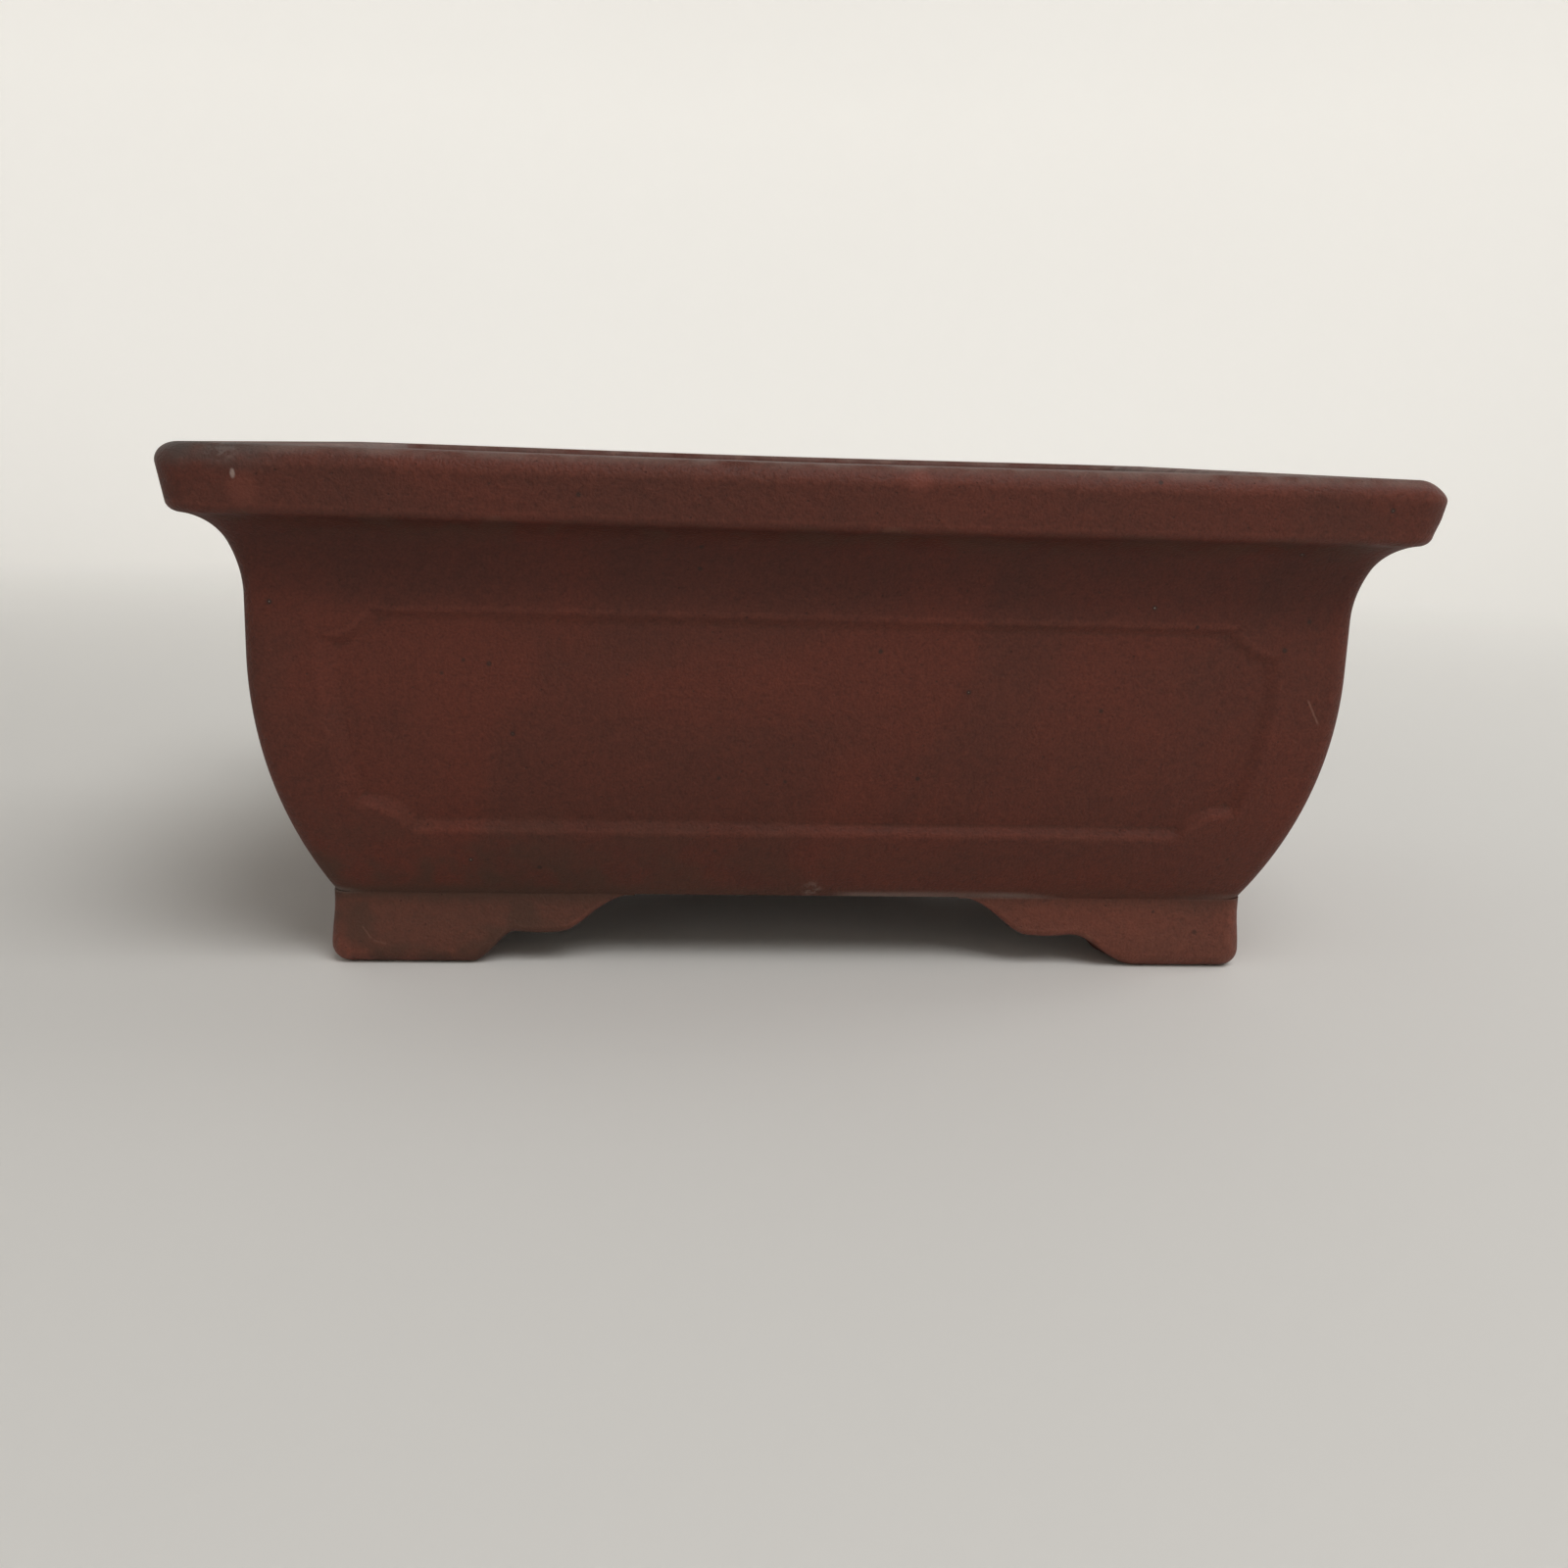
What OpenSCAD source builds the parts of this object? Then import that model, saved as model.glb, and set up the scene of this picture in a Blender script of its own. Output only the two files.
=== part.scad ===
// Rectangular unglazed bonsai pot on four cloud feet.
// Slab-built: mitred walls round a floor slab, a mitred rim strip on top, and seam coils inside.
// Millimetres. +X along the length, front face towards -Y, +Z up, origin under the middle of the feet.

/* [Overall size] */
// Length over the rim
pot_length = 180; // [160:5:240]
// Width over the rim, front to back
pot_width = 140; // [120:5:180]
// Height from the soles to the top of the rim
pot_height = 78; // [76:1:90]

/* [Walls] */
// Thickness of the wall slabs
wall_t = 6.5; // [5:0.5:8]
// Height at which the belly stands upright
belly_z = 49; // [46:1:50]
// Radius of the belly's curve, seen from the end
belly_r = 78; // [70:1:100]
// Rounding of the upright corners of the body
body_corner_r = 3; // [0.5:0.5:5]

/* [Panels] */
// Depth of the sunk panel on each side
panel_depth = 1; // [0.5:0.1:1.5]
// Plain border between a panel and the corner of the body
panel_margin = 11.3; // [9:0.1:14]
// Height of the panel's lower edge
panel_bottom_z = 23; // [20:0.5:26]
// Height of the panel's upper edge
panel_top_z = 55.3; // [50:0.1:56]
// Radius of the scooped panel corners
notch_r = 7.5; // [6:0.5:9]
// How far outside the panel's edge each scoop is centred
notch_shift = 3.5; // [2:0.5:4]

/* [Rim] */
// How far the lip stands out past the upright wall
rim_reach = 9.1; // [8.5:0.1:10]
// Height at which the cove under the lip starts
cove_z = 57; // [56.5:0.1:57.5]
// Rounding of the lip's upper outer edge
lip_top_r = 2.3; // [1:0.1:3]
// Rounding of the lip's lower edge
lip_low_r = 1.2; // [0.6:0.1:1.5]
// Rounding of the rim's corners, seen from above
rim_corner_r = 5; // [2:0.5:8]

/* [Feet] */
// Height of the feet, and of the underside of the floor
foot_h = 11.5; // [10:0.5:13]
// Thickness of a foot's arms
foot_t = 10; // [8:0.5:12]
// How far the foot's face lies in from the rim's tip line, at its widest
foot_inset = 18.1; // [18:0.1:19]
// Reach of a foot's arm along the front or back
arm_long = 46; // [40:1:50]
// Reach of a foot's arm along an end
arm_short = 34; // [28:1:38]
// Length of the flat toe on the left feet
toe_left = 21.5; // [15:0.5:24]
// Length of the flat toe on the right feet
toe_right = 17; // [15:0.5:24]
// Height of the step in the cloud outline
step_h = 5.2; // [4:0.1:6.5]

/* [Floor and holes] */
// Thickness of the floor slab
floor_t = 7; // [5:0.5:8]
// Radius of the two drainage holes
drain_r = 9; // [6:0.5:11]
// Distance of each drainage hole from the middle
drain_x = 32; // [26:1:36]
// Radius of the four tie-wire holes
wire_r = 2; // [1.5:0.25:3]
// Tie-wire holes, distance from the middle along the length
wire_x = 50; // [48:1:54]
// Tie-wire holes, distance from the middle across the width
wire_y = 24; // [18:1:28]

/* [Seam coils] */
// Leg of the clay coil pressed into each inside seam
coil_leg = 5; // [3:0.5:6]

/* [Hidden] */

half_l = pot_length / 2;
half_w = pot_width / 2;
floor_top = foot_h + floor_t;
inner_reach = rim_reach + wall_t;        // inset of the upright inner face
slab_inset = foot_inset + 6.9;           // inset of the floor slab's edge
mitre_depth = 35;                        // how far in from the tip line the mitres run
outside = 20;                            // overshoot of every cutting shape
belly_steps = 12;                        // flats along the belly
edge_steps = 6;                          // flats along each small rounding

// Tangents of the profile, in degrees from upright, positive when it leans outward
cove_turn = 23;
underside_turn = 80;
lip_lean = 12;
foot_lean = 14;
cove_long_r = 19;
cove_tight_r = 7.1;
foot_round_r = 2.8;
foot_flare_r = 24;
inner_round_r = 1.2;

clay_wall = [0.36, 0.20, 0.16];
clay_rim = [0.33, 0.18, 0.15];
clay_foot = [0.42, 0.25, 0.20];
clay_floor = [0.38, 0.22, 0.18];
clay_coil = [0.45, 0.28, 0.22];

// ---- outlines: points are [inset from the rim's tip line, height] ----

// Arc that starts at p and turns from tangent t0 to t1
function arc(p, t0, t1, r, n = edge_steps) =
    let (s = sign(t1 - t0))
    [for (i = [0:n]) let (t = t0 + (t1 - t0) * i / n)
        [p.x - s * r * (cos(t0) - cos(t)), p.y + s * r * (sin(t) - sin(t0))]];

// Belly curve from height z up to upright, sunk inward by d
function belly(z, d) =
    let (r = belly_r - d, t0 = asin((belly_z - z) / r))
    [for (i = [0:belly_steps]) let (t = t0 * (1 - i / belly_steps))
        [rim_reach + d + r * (1 - cos(t)), belly_z - r * sin(t)]];

// Inset of the body's outer face at height z
function body_inset(z) =
    rim_reach + (z < belly_z ? belly_r - sqrt(pow(belly_r, 2) - pow(belly_z - z, 2)) : 0);

cove_a = arc([rim_reach, cove_z], 0, cove_turn, cove_long_r);
wall_top = cove_a[edge_steps].y;
wall_outer = concat(belly(foot_h, 0), cove_a);
wall_inner = concat(belly(floor_top, wall_t), [[inner_reach, wall_top]]);

cove_b = arc(cove_a[edge_steps], cove_turn, underside_turn, cove_tight_r);
lip_low = arc(cove_b[edge_steps], underside_turn, lip_lean, lip_low_r);
lip_top = arc([lip_top_r * (1 - cos(lip_lean)), pot_height - lip_top_r * (1 + sin(lip_lean))],
              lip_lean, -90, lip_top_r);
lip_inner = arc([inner_reach - inner_round_r, pot_height], -90, -180, inner_round_r);
rim_outline = concat(cove_b, lip_low, lip_top, lip_inner, [[inner_reach, wall_top]]);

foot_round = arc([foot_inset + foot_round_r, 0], 90, -foot_lean, foot_round_r);
foot_flare = arc(foot_round[edge_steps], -foot_lean, 0, foot_flare_r);
foot_outer = concat(foot_round, foot_flare, [[foot_flare[edge_steps].x, foot_h]]);
foot_outline = concat(foot_outer, [[foot_inset + foot_t, foot_h], [foot_inset + foot_t, 0]]);

// Smooth step from 0 to 1
function ease(t) = let (c = min(max(t, 0), 1)) c * c * (3 - 2 * c);

// Height of the cloud outline at distance u from the foot's corner, for an arm of reach 1
function cloud_z(u, toe) =
    step_h * ease((u - toe) / (0.62 - toe)) + (foot_h - step_h) * ease((u - 0.77) / 0.23);

function reversed(v) = [for (i = [len(v) - 1:-1:0]) v[i]];

// ---- building blocks, all drawn on the +X side or in the +X +Y corner ----

// Outline run along the side at distance half from the middle
module bar(half, outline) {
    rotate([90, 0, 0])
        linear_extrude(pot_length + outside, center = true)
            polygon([for (q = outline) [half - q.x, q.y]]);
}

// Everything inward of an outline, run along the side
module inside_bar(half, outline) {
    bar(half, concat(outline, [[mitre_depth, outline[len(outline) - 1].y],
                               [mitre_depth, outline[0].y]]));
}

// Wedge between the two 45 degree mitres of a side
module mitred(half, other) {
    near = half - mitre_depth;
    far = half + outside;
    linear_extrude(pot_height + outside)
        polygon([[near, near - half + other], [near, half - other - near],
                 [far, half - other - far], [far, far - half + other]]);
}

// Everything inward of the flats that ease the four corners, each cut_sum in from the sharp edge
module eased_tower(outline, cut_sum) {
    bottom = outline[0].y;
    top = outline[len(outline) - 1].y;
    reach = (half_l + half_w - cut_sum) / sqrt(2);
    intersection_for (turn = [45, 135, 225, 315])
        rotate([0, 0, turn])
            rotate([90, 0, 0])
                linear_extrude(2 * pot_length, center = true)
                    polygon(concat([for (q = outline) [reach - sqrt(2) * q.x, q.y]],
                                   [[-pot_length, top], [-pot_length, bottom]]));
}

// Flat sides with scooped corners, seen square on; other is half the side's length at the rim
module panel_outline(other) {
    heights = [for (i = [0:belly_steps])
        panel_bottom_z + (panel_top_z - panel_bottom_z) * i / belly_steps];
    edge = [for (z = heights) [other - body_inset(z) - panel_margin, z]];
    difference() {
        polygon(concat(edge, reversed([for (q = edge) [-q.x, q.y]])));
        for (side = [-1, 1]) {
            translate([side * edge[0].x, panel_bottom_z - notch_shift])
                circle(notch_r, $fn = 48);
            translate([side * edge[belly_steps].x, panel_top_z + notch_shift])
                circle(notch_r, $fn = 48);
        }
    }
}

// Sunk panel, cut to an even depth below the curved face
module panel_cut(half, other) {
    skin = concat(belly(foot_h + 1, panel_depth), [[rim_reach + panel_depth, cove_z]]);
    intersection() {
        bar(half, concat(skin, [[-outside, cove_z], [-outside, foot_h + 1]]));
        rotate([90, 0, 90])
            linear_extrude(half + outside)
                panel_outline(other);
    }
}

module wall(half, other) {
    difference() {
        intersection() {
            bar(half, concat(wall_outer, reversed(wall_inner),
                             [[slab_inset, floor_top], [slab_inset, foot_h]]));
            mitred(half, other);
            eased_tower(wall_outer, (2 - sqrt(2)) * body_corner_r);
        }
        panel_cut(half, other);
    }
}

// Plan of the rim with rounded corners
module rim_plan(half, other) {
    corner = [for (i = [0:8]) rim_corner_r * [cos(i * 90 / 8) - 1, sin(i * 90 / 8) - 1]];
    quarter = [for (c = corner) [half + c.x, other + c.y]];
    right = concat(reversed([for (q = quarter) [q.x, -q.y]]), quarter);
    linear_extrude(pot_height + outside)
        polygon(concat(right, reversed([for (q = right) [-q.x, q.y]])));
}

module rim(half, other) {
    intersection() {
        bar(half, rim_outline);
        mitred(half, other);
        rim_plan(half, other);
    }
}

// Arm of a foot on the +X side, reaching from the +Y corner
module foot_arm(half, other, reach, toe) {
    corner = other - foot_inset;
    steps = 28;
    cloud = [for (i = [0:steps]) let (u = i / steps)
        [corner - reach * u, cloud_z(u, toe / arm_long)]];
    intersection() {
        bar(half, foot_outline);
        mitred(half, other);
        rotate([90, 0, 90])
            linear_extrude(half + outside)
                polygon(concat(cloud, [[corner + outside, foot_h], [corner + outside, 0]]));
    }
}

module foot(toe) {
    color(clay_foot)
        intersection() {
            union() {
                foot_arm(half_l, half_w, arm_short, toe);
                mirror([1, -1, 0])
                    foot_arm(half_w, half_l, arm_long, toe);
            }
            eased_tower(foot_outer, (2 - sqrt(2)) * body_corner_r);
        }
}

// Coil pressed into the upright inside corner
module corner_coil() {
    color(clay_coil)
        difference() {
            intersection() {
                inside_bar(half_l, wall_inner);
                mirror([1, -1, 0])
                    inside_bar(half_w, wall_inner);
            }
            coil_tower();
        }
}

// The room left between the four corner coils
module coil_tower() {
    bottom = [wall_inner[0].x, floor_top - 1];
    top = [inner_reach, wall_top + 1];
    eased_tower(concat([bottom], wall_inner, [top]), coil_leg * sqrt(2));
}

// ---- sub-parts ----

module floor_slab() {
    slab = [pot_length - 2 * slab_inset, pot_width - 2 * slab_inset, floor_t];
    color(clay_floor)
        translate([0, 0, foot_h])
            difference() {
                translate([-slab.x / 2, -slab.y / 2, 0])
                    cube(slab);
                for (sx = [-1, 1]) {
                    translate([sx * drain_x, 0, -1])
                        cylinder(r = drain_r, h = floor_t + 2, $fn = 64);
                    for (sy = [-1, 1])
                        translate([sx * wire_x, sy * wire_y, -1])
                            cylinder(r = wire_r, h = floor_t + 2, $fn = 32);
                }
            }
}

module wall_right() { color(clay_wall) wall(half_l, half_w); }
module wall_left() { mirror([1, 0, 0]) wall_right(); }
module wall_back() { color(clay_wall) mirror([1, -1, 0]) wall(half_w, half_l); }
module wall_front() { mirror([0, 1, 0]) wall_back(); }

module rim_right() { color(clay_rim) rim(half_l, half_w); }
module rim_left() { mirror([1, 0, 0]) rim_right(); }
module rim_back() { color(clay_rim) mirror([1, -1, 0]) rim(half_w, half_l); }
module rim_front() { mirror([0, 1, 0]) rim_back(); }

module foot_back_right() { foot(toe_right); }
module foot_front_right() { mirror([0, 1, 0]) foot(toe_right); }
module foot_back_left() { mirror([1, 0, 0]) foot(toe_left); }
module foot_front_left() { mirror([0, 1, 0]) foot_back_left(); }

// One rolled coil laid round the floor, against all four walls
module floor_coil() {
    wall_foot = [for (q = wall_inner) if (q.y < floor_top + coil_leg) q];
    crown = [wall_foot[len(wall_foot) - 1].x, wall_foot[len(wall_foot) - 1].y];
    toe = [wall_foot[0].x + coil_leg, floor_top];
    color(clay_coil)
        intersection() {
            union() {
                for (turn = [0, 1]) mirror([turn, 0, 0]) {
                    floor_coil_run(half_l, half_w, concat(wall_foot, [crown, toe]));
                }
                for (turn = [0, 1]) mirror([0, turn, 0]) {
                    mirror([1, -1, 0])
                        floor_coil_run(half_w, half_l, concat(wall_foot, [crown, toe]));
                }
            }
            coil_tower();
        }
}

module floor_coil_run(half, other, outline) {
    intersection() {
        bar(half, outline);
        mitred(half, other);
    }
}

module corner_coil_back_right() { corner_coil(); }
module corner_coil_back_left() { mirror([1, 0, 0]) corner_coil(); }
module corner_coil_front_right() { mirror([0, 1, 0]) corner_coil(); }
module corner_coil_front_left() { mirror([1, 0, 0]) corner_coil_front_right(); }

floor_slab();
wall_front();
wall_back();
wall_left();
wall_right();
rim_front();
rim_back();
rim_left();
rim_right();
foot_front_left();
foot_front_right();
foot_back_left();
foot_back_right();
floor_coil();
corner_coil_front_left();
corner_coil_front_right();
corner_coil_back_left();
corner_coil_back_right();
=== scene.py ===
import math

import bpy
import numpy as np
from bpy.props import FloatProperty, FloatVectorProperty, PointerProperty
from mathutils import Matrix, Vector


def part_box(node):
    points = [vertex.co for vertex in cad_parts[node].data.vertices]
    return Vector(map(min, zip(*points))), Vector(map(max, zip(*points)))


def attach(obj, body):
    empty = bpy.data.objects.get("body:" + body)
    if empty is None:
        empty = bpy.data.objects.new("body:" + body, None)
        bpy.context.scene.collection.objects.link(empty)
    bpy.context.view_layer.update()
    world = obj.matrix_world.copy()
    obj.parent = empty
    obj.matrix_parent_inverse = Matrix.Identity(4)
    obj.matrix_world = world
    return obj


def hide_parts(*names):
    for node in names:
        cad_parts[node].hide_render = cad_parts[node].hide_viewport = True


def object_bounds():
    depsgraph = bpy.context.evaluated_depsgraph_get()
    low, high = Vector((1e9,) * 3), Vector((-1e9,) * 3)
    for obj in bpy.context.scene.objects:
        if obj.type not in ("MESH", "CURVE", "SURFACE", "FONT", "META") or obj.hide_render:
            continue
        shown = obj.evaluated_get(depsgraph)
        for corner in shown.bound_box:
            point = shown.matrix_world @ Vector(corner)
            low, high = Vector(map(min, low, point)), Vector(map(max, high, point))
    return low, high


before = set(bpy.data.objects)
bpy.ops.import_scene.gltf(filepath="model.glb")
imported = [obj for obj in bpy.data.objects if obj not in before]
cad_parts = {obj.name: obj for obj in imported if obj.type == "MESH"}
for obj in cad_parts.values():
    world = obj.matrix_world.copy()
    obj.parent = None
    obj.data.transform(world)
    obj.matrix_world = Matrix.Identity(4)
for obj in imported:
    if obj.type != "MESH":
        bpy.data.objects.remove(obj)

bl_info = {
    "name": "Bonsai Pot",
    "version": (1, 0, 0),
    "blender": (4, 5, 0),
    "location": "View3D > Sidebar > Bonsai Pot",
    "description": "Builds a slab-built rectangular bonsai pot on cloud feet around its frame",
    "category": "Add Mesh",
}

CAD_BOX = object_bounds()
MM = 0.001
HALF_L = CAD_BOX[1].x
HALF_W = CAD_BOX[1].y
TOP = CAD_BOX[1].z
FOOT_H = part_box("floor_slab")[0].z
FLOOR_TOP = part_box("floor_slab")[1].z
SLAB_INSET = HALF_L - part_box("floor_slab")[1].x
WALL_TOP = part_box("wall_front")[1].z
SIDES = ("front", "right", "back", "left")
CORNERS = {"back_right": (1, 1), "back_left": (-1, 1), "front_right": (1, -1), "front_left": (-1, -1)}


# ---------------------------------------------------------------- sizes and colours

def length(name, description, value):
    """A length that a user may change, in metres, kept at a tenth of a millimetre or better."""
    return FloatProperty(name=name, description=description, default=value, unit="LENGTH", precision=5)


def colour(name, description, value):
    """A linear colour that a user may change."""
    return FloatVectorProperty(name=name, description=description, default=value,
                               subtype="COLOR", size=3, min=0.0, max=1.0)


class PotShape(bpy.types.PropertyGroup):
    """Sizes of the pot that the frame's boxes don't give."""
    rim_reach: length("Rim reach", "How far the lip stands out past the upright wall", 9.1 * MM)
    wall_t: length("Wall thickness", "Thickness of the wall slabs", 6.5 * MM)
    belly_z: length("Belly height", "Height at which the belly stands upright", 49 * MM)
    belly_r: length("Belly radius", "Radius of the belly's curve", 78 * MM)
    cove_z: length("Cove height", "Height at which the cove under the lip starts", 57 * MM)
    body_corner: length("Body corner", "Rounding of the body's upright corners", 3 * MM)
    rim_corner: length("Rim corner", "Rounding of the rim's corners from above", 5 * MM)
    panel_depth: length("Panel depth", "Depth of the sunk panels", 0.95 * MM)
    panel_margin: length("Panel margin", "Plain border beside a panel", 11.3 * MM)
    panel_low: length("Panel bottom", "Height of the panels' lower edge", 23 * MM)
    panel_high: length("Panel top", "Height of the panels' upper edge", 55.3 * MM)
    notch_r: length("Scoop radius", "Radius of the scooped panel corners", 7.5 * MM)
    notch_shift: length("Scoop shift", "How far outside the panel each scoop is centred", 3.5 * MM)
    ledge: length("Ledge softness", "Width over which the panel's lower edge slopes", 1.5 * MM)
    foot_inset: length("Foot inset", "Inset of the foot's face at its widest", 18.1 * MM)
    foot_t: length("Foot thickness", "Thickness of a foot's arms", 10 * MM)
    step_h: length("Step height", "Height of the step in the cloud outline", 5.2 * MM)
    toe_left: length("Left toe", "Flat length of the left feet", 21.5 * MM)
    toe_right: length("Right toe", "Flat length of the right feet", 17 * MM)
    coil: length("Coil", "Leg of the coil pressed into each inside seam", 5 * MM)
    drain_r: length("Drain hole", "Radius of the drainage holes", 9 * MM)
    drain_x: length("Drain place", "Distance of each drainage hole from the middle", 32 * MM)
    wire_r: length("Wire hole", "Radius of the tie-wire holes", 2 * MM)
    wire_x: length("Wire hole x", "Tie-wire holes along the length", 50 * MM)
    wire_y: length("Wire hole y", "Tie-wire holes across the width", 24 * MM)
    wander_x: length("End wander", "How far the end walls wander in from true", 0.25 * MM)
    wander_y: length("Side wander", "How far the long walls wander in from true", 0.25 * MM)
    sag: length("Rim sag", "How far the long rims sag in the middle", 0.3 * MM)
    rubbed: length("Rubbed lip", "How much of the lip's right end is rubbed away", 0.5 * MM)


class ClayLook(bpy.types.PropertyGroup):
    """Colours of the fired clay, of what has settled on it, and of the painted shade, highlight and sheen
    mixed into it.
    """
    wall: colour("Wall clay", "Red-brown of the walls", (0.101, 0.0265, 0.0160))
    rim: colour("Rim clay", "Slightly browner clay of the rim", (0.098, 0.0270, 0.0168))
    # The feet's paler colour is partly painted light: the table's bounce on the flared feet.
    foot: colour("Foot clay", "Paler clay of the feet", (0.142, 0.0440, 0.0275))
    # Also the colour of painted shade in creases, on down-facing faces and where the feet meet the body.
    soil_and_shade: colour("Soil", "Grey-brown dirt in the creases", (0.062, 0.034, 0.023))
    raw: colour("Raw clay", "Fresh clay where the skin is chipped", (0.200, 0.082, 0.056))
    # Also paints the sheen on the rim's top land, together with dust.
    lime: colour("Lime", "Pale bloom and specks", (0.42, 0.37, 0.33))
    iron: colour("Iron", "Dark iron specks", (0.028, 0.016, 0.012))
    pinhole: colour("Pinholes", "Shade inside the pinholes", (0.045, 0.022, 0.016))
    stain: colour("Stain", "Dark water stain on the left lip corner", (0.060, 0.052, 0.046))
    film: colour("Film", "Pale film beside the stain", (0.27, 0.25, 0.23))
    worn: colour("Worn clay", "Redder clay beside the chip", (0.20, 0.055, 0.035))
    chip: colour("Chip", "Pale floor of the chip", (0.40, 0.31, 0.27))
    scratch: colour("Scratch", "Thin scratches", (0.24, 0.12, 0.09))
    nick: colour("Nick", "Nick in the front lip", (0.22, 0.060, 0.040))


class StageSetup(bpy.types.PropertyGroup):
    """Camera, sweep and lights."""
    lens: FloatProperty(name="Lens", description="Focal length in millimetres on a 36 mm sensor",
                        default=35.99)
    eye: FloatVectorProperty(name="Eye", description="Camera position", subtype="TRANSLATION",
                             default=(-0.02225, -0.28541, 0.07976), precision=5)
    aim: FloatVectorProperty(name="Aim", description="Turn, tilt and roll of the camera", subtype="EULER",
                             default=tuple(math.radians(a) for a in (-4.762, -12.129, -1.837)))
    sweep_r: length("Sweep radius", "Radius at which the floor turns up into the backdrop", 0.75)
    paper: colour("Backdrop colour", "Pale warm white of the backdrop", (0.84, 0.83, 0.80))
    floor_tone: colour("Floor colour", "Pale grey of the table", (0.80, 0.79, 0.76))
    glow: FloatProperty(name="Glow", description="Strength of the backdrop's own light", default=0.33)


def shape():
    return bpy.context.scene.pot_shape


def look():
    return bpy.context.scene.clay_look


# ---------------------------------------------------------------- curves and surfaces

def ease(t):
    """Smooth step: 3t^2 - 2t^3 between 0 and 1, flat outside."""
    c = np.clip(t, 0.0, 1.0)
    return c * c * (3.0 - 2.0 * c)


def arc(start, lean0, lean1, radius, n=48):
    """Points on a circle of this radius that start at (inset, height) and turn from lean0 to lean1.

    Leans are degrees from upright, positive outward."""
    a0 = math.radians(lean0)
    a = np.radians(np.linspace(lean0, lean1, n + 1))
    s = math.copysign(1.0, lean1 - lean0)
    return np.stack([start[0] - s * radius * (math.cos(a0) - np.cos(a)),
                     start[1] + s * radius * (np.sin(a) - math.sin(a0))], 1)


def belly(low, sunk, n=96):
    """The belly's circle from height low up to upright, sunk into the wall."""
    s = shape()
    r = s.belly_r - sunk
    a = np.linspace(math.asin((s.belly_z - low) / r), 0.0, n + 1)
    return np.stack([s.rim_reach + sunk + r * (1 - np.cos(a)), s.belly_z - r * np.sin(a)], 1)


def body_inset(z):
    """Inset of the body's outer face at height z: the belly's circle, upright above its middle."""
    s = shape()
    drop = np.clip(s.belly_z - z, 0.0, None)
    return s.rim_reach + s.belly_r - np.sqrt(s.belly_r ** 2 - drop ** 2)


class Run:
    """Joined (inset, height) points, read by the length travelled along them.

    end holds the length travelled to the end of each named part."""

    def __init__(self, **parts):
        self.points = np.concatenate(list(parts.values()))
        steps = np.linalg.norm(np.diff(self.points, axis=0), axis=1)
        kept = np.concatenate([[True], steps > 1e-9])
        travelled = np.concatenate([[0.0], np.cumsum(steps)])
        counts = np.cumsum([len(part) for part in parts.values()])
        self.end = dict(zip(parts, travelled[counts - 1]))
        self.points, self.s = self.points[kept], travelled[kept]

    def at(self, s):
        return np.interp(s, self.s, self.points[:, 0]), np.interp(s, self.s, self.points[:, 1])

    def normal(self, s, h=0.2 * MM):
        """Outward normal as (outward part, upward part)."""
        p0, z0 = self.at(s - h)
        p1, z1 = self.at(s + h)
        d = np.hypot(p1 - p0, z1 - z0) + 1e-12
        return (z1 - z0) / d, (p1 - p0) / d


def outer_run():
    """Body and rim as one line: belly, cove, lip, top land, inner edge, inner face of the rim."""
    s = shape()
    cove_a = arc((s.rim_reach, s.cove_z), 0, 23, 19 * MM)
    cove_b = arc(cove_a[-1], 23, 80, 7.1 * MM)
    low = arc(cove_b[-1], 80, 9, 1.8 * MM, 24)
    top_r = 2.5 * MM
    lean = math.radians(9)
    high = arc((top_r * (1 - math.cos(lean)), TOP - top_r * (1 + math.sin(lean))), 9, -90, top_r, 40)
    inner_r = 1.2 * MM
    inner_p = s.rim_reach + s.wall_t
    inner = arc((inner_p - inner_r, TOP), -90, -180, inner_r, 20)
    down = np.array([[inner_p, inner[-1][1]], [inner_p, WALL_TOP]])
    return Run(body=belly(FOOT_H, 0.0), wall=cove_a, cove=cove_b, low=low, high=high, land=inner,
               inner=down)


def inner_run():
    """Inside of a wall: upright face, inner belly, ledge flush with the floor, down to the underside."""
    s = shape()
    inside = belly(FLOOR_TOP, s.wall_t)[::-1]
    top = np.array([[s.rim_reach + s.wall_t, WALL_TOP]])
    ledge = np.array([[SLAB_INSET, FLOOR_TOP], [SLAB_INSET, FOOT_H]])
    return Run(face=np.concatenate([top, inside]), ledge=ledge)


def drift(a, b, seed):
    """Slow smooth wander between 0 and 1: three sines of two distances, at unrelated pitches."""
    w = (np.sin(a / 0.041 + b / 0.029 + seed) + np.sin(a / 0.019 - b / 0.023 + 2.1 * seed)
         + 0.6 * np.sin(a / 0.0097 + b / 0.013 + 3.7 * seed))
    return 0.5 + w / 5.2


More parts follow.
